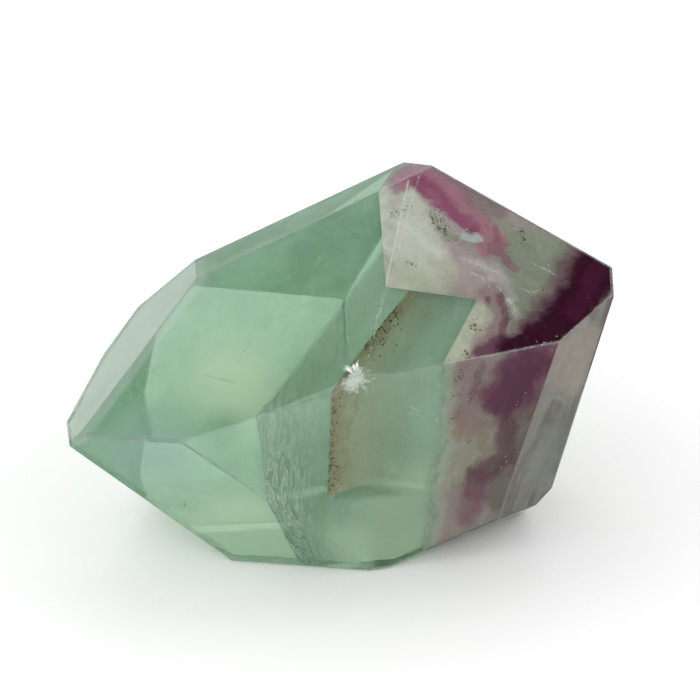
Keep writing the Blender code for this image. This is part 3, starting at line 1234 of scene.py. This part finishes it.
def make_zones(sizes, colours):
    """The cloudy colour zones at the blunt end, and the milky cap on the crown."""
    skin = flat_planes(sizes.skin)
    wall = inner_plane(*ZONE_WALL)
    side, floor = cap_planes()
    zone = from_bmesh("colour_zones", cut_block(skin + [flipped(wall)]))
    block = cut_block(skin + [side, floor, moved(wall, CAP_PAST_WALL)])
    combine(zone, from_bmesh("milky_cap", block), "UNION")
    refine(zone, sizes.grain)
    ripple_inside(zone, skin)
    front, end = flat_plane("front_face"), flat_plane("blunt_end")
    finish_piece(zone, banded_fluorite(
        "crown_bands", colours, ((0.50, 0.40, 0.41), (0.40, 0.37, 0.32)), CROWN_BANDS, CROWN_RUN,
        crossing=CROSSING_BANDS, seams=CROWN_SEAMS,
    ))
    zone.data.materials.append(banded_fluorite(
        "front_bands", colours, ((0.39, 0.385, 0.32), (0.35, 0.27, 0.265)), FRONT_BANDS, FRONT_RUN,
        wall=wall, front=front,
    ))
    zone.data.materials.append(banded_fluorite(
        "end_bands", colours, ((0.22, 0.17, 0.165), (0.30, 0.27, 0.25)), END_BANDS, FRONT_RUN,
        lengthwise=front[0].cross(end[0]),
    ))
    zone.data.materials.append(banded_fluorite(
        "under_bands", colours, ((0.15, 0.14, 0.13), (0.20, 0.20, 0.17)), (), FRONT_RUN
    ))
    share_out_bands(zone, front[0], end[0], wall)
    deeper = flat_planes(sizes.skin + sizes.heart)
    block = cut_block(deeper + [flipped(moved(wall, HEART_PAST_WALL))])
    heart = from_bmesh("zone_heart", block)
    refine(heart, sizes.grain * 1.5)
    ripple_inside(heart, flat_planes())
    finish_piece(heart, zone_heart())
    return zone, heart


def make_haze(sizes):
    """The faint haze of the clear stone, a little way under its skin."""
    wall = inner_plane(*ZONE_WALL)
    side, floor = cap_planes()
    block = cut_block(flat_planes(sizes.haze) + [moved(wall, HAZE_PAST_WALL)])
    haze = from_bmesh("clear_haze", block)
    cap = from_bmesh("cap_space", cut_block(flat_planes(-MM) + [side, floor]))
    combine(haze, cap, "DIFFERENCE")
    refine(haze, sizes.grain * 1.5)
    ripple_inside(haze, flat_planes())
    finish_piece(haze, pale_haze(
        flat_plane("point_bevel"), inner_plane(*FIRST_CLEAVAGE), inner_plane(*STAINED_CLEAVAGE)
    ))
    return haze


def plane_grid(plane, grain, half=0.06):
    """Return a fine square grid that lies in a plane."""
    direction, distance = plane
    across = Vector((0.0, 0.0, 1.0)).cross(direction).normalized()
    upward = direction.cross(across).normalized()
    turn = Matrix((across, upward, direction)).transposed().to_4x4()
    place_it = Matrix.Translation(direction * distance) @ turn
    grid = bmesh.new()
    steps = max(2, round(2.0 * half / grain))
    bmesh.ops.create_grid(grid, x_segments=steps, y_segments=steps, size=half, matrix=place_it)
    return grid


def carve_region(mesh, region):
    """Remove the part of a sheet that lies inside all the planes of a region."""
    for outward, distance in region:
        bmesh.ops.bisect_plane(
            mesh,
            geom=mesh.verts[:] + mesh.edges[:] + mesh.faces[:],
            dist=1e-8,
            plane_co=outward * distance,
            plane_no=outward,
        )
    doomed = []
    for face in mesh.faces:
        centre = face.calc_center_median()
        if all(outward.dot(centre) < distance for outward, distance in region):
            doomed.append(face)
    bmesh.ops.delete(mesh, geom=doomed, context="FACES")


def make_sheet(name, plane, clips, region, grain, bend):
    """A thin sheet in a plane of the stone, clipped by other planes and bent."""
    sheet = plane_grid(plane, grain)
    for clip in clips:
        keep_inside(sheet, clip, close=False)
    carve_region(sheet, region)
    direction = plane[0]
    limits = flat_planes(SHEET_ROOM * MM)
    for vertex in sheet.verts:
        vertex.co += direction * bend(vertex.co)
        for outward, distance in limits:
            vertex.co -= outward * max(0.0, outward.dot(vertex.co) - distance)
    bmesh.ops.recalc_face_normals(sheet, faces=sheet.faces[:])
    shade_smooth(sheet)
    return from_bmesh(name, sheet)


def make_cleavages(sizes, colours):
    """The two open cleavages: one rippled at its front edge, and one stained."""
    depth = SHEET_DEPTH * MM
    skin = flat_planes(depth)
    front = [flat_plane(name, depth) for name in ("front_face", "left_keel")]
    crown = [flat_plane(name, depth) for name in ("crown_left", "crown_right")]

    def rib(spot):
        gap = gap_to(front, spot)
        low = max(0.0, min(1.0, 1.0 - (spot.z - RIB_FULL * MM) / (RIB_FADE * MM)))
        fade = max(0.0, 1.0 - gap / (RIB_REACH * MM)) * low
        drift = noise.noise(spot / (3.4 * MM)) * 6.5 + noise.noise(spot / (1.1 * MM)) * 1.6
        phase = (gap * 3.6 + spot.z * 0.55) / MM + drift
        return (1.0 - 2.0 * abs(math.sin(phase / 2.0)) ** 0.6) * fade ** 0.7

    def hackle(spot):
        lean = min(1.0, max(0.0, (FOOT_TOP * MM - spot.z) / (FOOT_DROP * MM)))
        sway = noise.noise(spot / (5.0 * MM)) * 0.10
        return (rib(spot) * 0.15 + sway - FOOT_BEND * lean ** 2) * MM

    def calm(spot):
        return noise.noise(spot / (5.0 * MM)) * 0.12 * MM

    zone_wall = moved(inner_plane(*ZONE_WALL), SHEET_PAST_WALL)
    first = make_sheet(
        "first_cleavage", inner_plane(*FIRST_CLEAVAGE), skin + [zone_wall],
        cap_planes(), sizes.sheet_grain, hackle,
    )
    mark_gap(first, "edge_gap", front)
    mark_gap(first, "crown_gap", crown)
    finish_piece(first, cleavage_sheen())
    low_end = (Vector(STAIN_FLOOR[0]).normalized(), STAIN_FLOOR[1] * MM)
    stained = make_sheet(
        "stained_cleavage", inner_plane(*STAINED_CLEAVAGE), skin + [zone_wall, low_end],
        cap_planes(), sizes.sheet_grain, calm,
    )
    mark_gap(stained, "edge_gap", front + crown)
    finish_piece(stained, iron_stain(colours))
    return first, stained


def lump(mesh, centre, size, rng, squash=(1.0, 1.0, 1.0)):
    """Add one small uneven lump to a mesh."""
    added = bmesh.ops.create_icosphere(mesh, subdivisions=2, radius=size)
    for vertex in added["verts"]:
        shift = Vector((rng.random() * 9, 0, 0))
        uneven = 1.0 + 0.35 * noise.noise(vertex.co / size * 1.3 + shift)
        vertex.co = Vector(
            [centre[axis] + vertex.co[axis] * squash[axis] * uneven for axis in range(3)]
        )


def sunk(spot, depth):
    """Move a place to a depth under the flat that it lies nearest to."""
    outward, distance = min(flat_planes(), key=lambda plane: plane[1] - plane[0].dot(spot))
    return spot + outward * (distance - depth - outward.dot(spot)), outward


def scattered(point, spread, rng):
    """Return a place near a point, in metres."""
    return place(point) + Vector([rng.gauss(0.0, spread) * MM for _ in range(3)])


def make_specks():
    """Dark iron specks, strewn in the stained cleavage and over the colour zones."""
    rng = random.Random(7)
    specks = bmesh.new()
    direction, distance = inner_plane(*STAINED_CLEAVAGE)
    for start, end, count, spread, flat in TRAILS:
        outward, reach = flat_plane(flat)
        inward = -(outward - direction * direction.dot(outward)).normalized()
        for _ in range(count):
            spot = place(start).lerp(place(end), rng.random())
            spot -= direction * (direction.dot(spot) - distance)
            spot += inward * ((reach - outward.dot(spot)) / outward.dot(inward))
            spot += inward * (TRAIL_GAP + rng.expovariate(1.0 / spread)) * MM
            lump(specks, spot, rng.uniform(*TRAIL_SIZES) * MM, rng, (1.0, 1.0, 1.5))
    for point in SPECKS:
        for size in SPECK_SIZES:
            spot = scattered(point, SPECK_SCATTER, rng)
            spot, _outward = sunk(spot, SPECK_DEPTH * MM)
            lump(specks, spot, rng.uniform(0.6, 1.0) * size * MM, rng, (1.3, 0.9, 1.0))
    piece = from_bmesh("iron_specks", specks)
    finish_piece(piece, dark_speck())
    return piece


def make_flecks():
    """Small white flecks of bruised stone along the arrises and in the zones."""
    rng = random.Random(11)
    flecks = bmesh.new()
    for point in FLECKS:
        for _ in range(rng.choice((1, 2, 2, 3))):
            spot = scattered(point, FLECK_SCATTER, rng)
            spot, _outward = sunk(spot, FLECK_DEPTH * MM)
            lump(flecks, spot, rng.uniform(*FLECK_SIZES) * MM, rng, (2.2, 1.0, 0.8))
    piece = from_bmesh("bright_flecks", flecks)
    finish_piece(piece, white_feather())
    return piece


def ribbon(mesh, fade, points, width, rng):
    """Lay a thin tapered ribbon just under the polish, fading out at its sides."""
    steps = 14
    rails = []
    for index in range(steps * (len(points) - 1) + 1):
        part = min(index // steps, len(points) - 2)
        spot = place(points[part]).lerp(place(points[part + 1]), index / steps - part)
        run = (place(points[part + 1]) - place(points[part])).normalized()
        spot += noise.noise_vector(spot / (1.3 * MM)) * 0.22 * MM
        spot, outward = sunk(spot, LINE_DEPTH * MM)
        side = outward.cross(run).normalized()
        taper = math.sin(math.pi * (index + 1.5) / (steps * (len(points) - 1) + 3.0)) ** 0.5
        half = width * MM / 2.0 * taper * rng.uniform(0.6, 1.3)
        lit = taper * rng.uniform(0.5, 1.0)
        row = []
        for share in (-1.0, -0.4, 0.4, 1.0):
            vertex = mesh.verts.new(spot + side * half * share - outward * abs(share) * 0.03 * MM)
            vertex[fade] = lit if abs(share) < 0.5 else 0.0
            row.append(vertex)
        rails.append(row)
    for first, second in zip(rails, rails[1:]):
        for index in range(3):
            mesh.faces.new((first[index], first[index + 1], second[index + 1], second[index]))


def make_lines(name, dark, material):
    """The white or the dark lines just under the polish, as one piece."""
    rng = random.Random(5)
    mesh = bmesh.new()
    fade = mesh.verts.layers.float.new("fade")
    for points, width, is_dark in LINES.values():
        if is_dark == dark:
            ribbon(mesh, fade, points, width, rng)
    shade_smooth(mesh)
    piece = from_bmesh(name, mesh)
    finish_piece(piece, material)
    return piece


def make_bruise():
    """The white bruise under the knocked nose: a ragged cap and a fan of small cracks."""
    rng = random.Random(3)
    outward, reach = flat_plane("nose_knock")
    centre = place(KNOCK)
    centre += outward * (reach - BRUISE_DEPTH * MM - outward.dot(centre))
    across = Vector((0.0, 0.0, 1.0)).cross(outward).normalized()
    upward = outward.cross(across)
    fan = bmesh.new()
    fade = fan.verts.layers.float.new("fade")
    middle = fan.verts.new(centre)
    middle[fade] = 1.0
    rows = []
    for spoke in range(BRUISE_SPOKES):
        turn = spoke * 2.0 * math.pi / BRUISE_SPOKES
        ray = across * math.cos(turn) + upward * math.sin(turn)
        spread = 1.75 + 1.5 * noise.noise(Vector((math.cos(turn), math.sin(turn), 0.4)) * 1.4)
        spread += 1.3 * noise.noise(Vector((math.cos(turn), math.sin(turn), 2.7)) * 4.5)
        spread = max(0.9, spread)
        row = []
        for ring in range(1, BRUISE_RINGS + 1):
            share = ring / BRUISE_RINGS
            spot = centre + ray * spread * share * MM - outward * 0.5 * share ** 2 * MM
            spot += outward * 0.18 * MM * noise.noise(spot / (0.45 * MM)) * share
            vertex = fan.verts.new(spot)
            vertex[fade] = max(0.0, 1.0 - share ** 2.2)
            row.append(vertex)
        rows.append(row)
    for spoke in range(BRUISE_SPOKES):
        first, second = rows[spoke], rows[(spoke + 1) % BRUISE_SPOKES]
        fan.faces.new((middle, first[0], second[0]))
        for ring in range(BRUISE_RINGS - 1):
            fan.faces.new((first[ring], first[ring + 1], second[ring + 1], second[ring]))
    for _ in range(BRUISE_CRACKS):
        turn = rng.uniform(0.0, 2.0 * math.pi)
        ray = across * math.cos(turn) + upward * math.sin(turn)
        root = fan.verts.new(centre + ray * 0.4 * MM - outward * 0.1 * MM)
        tip = fan.verts.new(
            centre + ray * rng.uniform(1.6, 3.0) * MM - outward * rng.uniform(0.4, 1.4) * MM
        )
        broad = outward.cross(ray) * rng.uniform(0.15, 0.45) * MM
        halfway = (root.co + tip.co) / 2.0
        left, right = fan.verts.new(halfway + broad), fan.verts.new(halfway - broad)
        root[fade], tip[fade] = 0.9, 0.0
        left[fade], right[fade] = 0.35, 0.35
        fan.faces.new((root, left, tip, right))
    shade_smooth(fan)
    piece = from_bmesh("nose_bruise", fan)
    finish_piece(piece, soft_feather("nose_feather", 0.96))
    return piece


# ---------------------------------------------------------------- stage


def nose_corner():
    """Return the corner where the two crowns and the front face meet."""
    chosen = [flat_plane(name) for name in ("crown_left", "crown_right", "front_face")]
    rows = Matrix([direction for direction, _distance in chosen])
    return rows.inverted() @ Vector([distance for _direction, distance in chosen])


def make_table():
    """The white table that the stone stands on."""
    table = bmesh.new()
    bmesh.ops.create_grid(table, x_segments=8, y_segments=8, size=3.0)
    floor = from_bmesh("table", table)
    floor.location.z = -TABLE_DROP * MM
    floor.data.materials.append(pale_table())


def make_light(scene, stage):
    """The white room: brighter high on the left, with darker patches to reflect."""
    world = bpy.data.worlds.new("studio")
    world.use_nodes = True
    scene.world = world
    tree = world.node_tree
    light = tree.nodes["Background"]
    light.inputs["Strength"].default_value = stage.sky
    way = add_node(tree, "ShaderNodeTexCoord").outputs["Generated"]
    key = vectors(tree, "DOT_PRODUCT", way, facing(*KEY_SIDE))
    room = mix_colour(tree, remap(tree, key, -0.9, 0.9), ROOM_DIM, ROOM_BRIGHT)
    for turn, lean, start, full, shade in ROOM_PATCHES:
        towards = vectors(tree, "DOT_PRODUCT", way, facing(turn, lean))
        room = mix_colour(tree, remap(tree, towards, start, full), room, (shade,) * 3)
    tree.links.new(room, light.inputs["Color"])


def make_camera(scene, stage):
    """The camera, aimed a little up and to the left of the nose."""
    upward = stage.camera_height
    back = Vector((0.0, -math.cos(upward), math.sin(upward)))
    right = Vector((1.0, 0.0, 0.0))
    above = Vector((0.0, math.sin(upward), math.cos(upward)))
    nose = nose_corner()
    camera = bpy.data.cameras.new("camera")
    camera.sensor_width = SENSOR_WIDTH
    camera.lens = SENSOR_WIDTH * FIELD_DISTANCE / FIELD_WIDTH
    camera.clip_start = 0.01
    camera.clip_end = 20.0
    eye = bpy.data.objects.new("camera", camera)
    scene.collection.objects.link(eye)
    eye.location = nose + back * stage.camera_distance
    target = nose - right * AIM_LEFT * MM + above * AIM_UP * MM
    eye.rotation_euler = (target - eye.location).to_track_quat("-Z", "Y").to_euler()
    scene.camera = eye


def make_stage(scene, stage):
    """Set the table, the studio light, the camera and how light is traced."""
    make_table()
    make_light(scene, stage)
    make_camera(scene, stage)
    scene.view_settings.view_transform = "Standard"
    scene.cycles.max_bounces = 20
    scene.cycles.transmission_bounces = 16
    scene.cycles.glossy_bounces = 12
    scene.cycles.transparent_max_bounces = 24


# ---------------------------------------------------------------- operators


class FLUORITE_OT_crystal(bpy.types.Operator):
    """Cut and polish the clear green skin of the crystal"""

    bl_idname = "fluorite.crystal"
    bl_label = "Polished crystal"

    def execute(self, context):
        make_crystal(context.scene.fluorite_sizes, context.scene.fluorite_colours)
        return {"FINISHED"}


class FLUORITE_OT_zones(bpy.types.Operator):
    """Grow the milky cap and the lilac and purple colour zones"""

    bl_idname = "fluorite.zones"
    bl_label = "Colour zones"

    def execute(self, context):
        make_zones(context.scene.fluorite_sizes, context.scene.fluorite_colours)
        make_haze(context.scene.fluorite_sizes)
        return {"FINISHED"}


class FLUORITE_OT_cleavages(bpy.types.Operator):
    """Open the two cleavages, with the iron specks in one of them"""

    bl_idname = "fluorite.cleavages"
    bl_label = "Cleavages"

    def execute(self, context):
        make_cleavages(context.scene.fluorite_sizes, context.scene.fluorite_colours)
        make_specks()
        return {"FINISHED"}


class FLUORITE_OT_wear(bpy.types.Operator):
    """Bruise the nose of the stone, and add its flecks, scratches and hairlines"""

    bl_idname = "fluorite.wear"
    bl_label = "Bruises and scratches"

    def execute(self, context):
        make_bruise()
        make_flecks()
        make_lines("white_lines", False, soft_feather("white_line", 0.55))
        make_lines("dark_hairlines", True, dark_hair())
        return {"FINISHED"}


class FLUORITE_OT_stage(bpy.types.Operator):
    """Set the table, the studio light and the camera"""

    bl_idname = "fluorite.stage"
    bl_label = "Stage"

    def execute(self, context):
        make_stage(context.scene, context.scene.fluorite_stage)
        return {"FINISHED"}


class FLUORITE_PT_panel(bpy.types.Panel):
    """List the steps and settings that build the crystal"""

    bl_idname = "FLUORITE_PT_panel"
    bl_label = "Fluorite crystal"
    bl_space_type = "VIEW_3D"
    bl_region_type = "UI"
    bl_category = "Fluorite"

    def draw(self, context):
        layout = self.layout
        scene = context.scene
        for group in (scene.fluorite_sizes, scene.fluorite_colours, scene.fluorite_stage):
            box = layout.box()
            for name in group.__annotations__:
                box.prop(group, name)
        for step in STEPS:
            layout.operator(step.bl_idname)


STEPS = (
    FLUORITE_OT_crystal,
    FLUORITE_OT_zones,
    FLUORITE_OT_cleavages,
    FLUORITE_OT_wear,
    FLUORITE_OT_stage,
)
GROUPS = (
    ("fluorite_sizes", FluoriteSizes),
    ("fluorite_colours", FluoriteColours),
    ("fluorite_stage", FluoriteStage),
)


def register():
    """Register the settings, the steps and the panel."""
    for name, group in GROUPS:
        bpy.utils.register_class(group)
        setattr(bpy.types.Scene, name, PointerProperty(type=group))
    for step in STEPS:
        bpy.utils.register_class(step)
    bpy.utils.register_class(FLUORITE_PT_panel)


def unregister():
    """Undo what register did, in the opposite order."""
    bpy.utils.unregister_class(FLUORITE_PT_panel)
    for step in reversed(STEPS):
        bpy.utils.unregister_class(step)
    for name, group in reversed(GROUPS):
        delattr(bpy.types.Scene, name)
        bpy.utils.unregister_class(group)


def main():
    """Build the crystal step by step."""
    register()
    bpy.ops.fluorite.crystal()
    bpy.ops.fluorite.zones()
    bpy.ops.fluorite.cleavages()
    bpy.ops.fluorite.wear()
    bpy.ops.fluorite.stage()


if __name__ == "__main__":
    main()
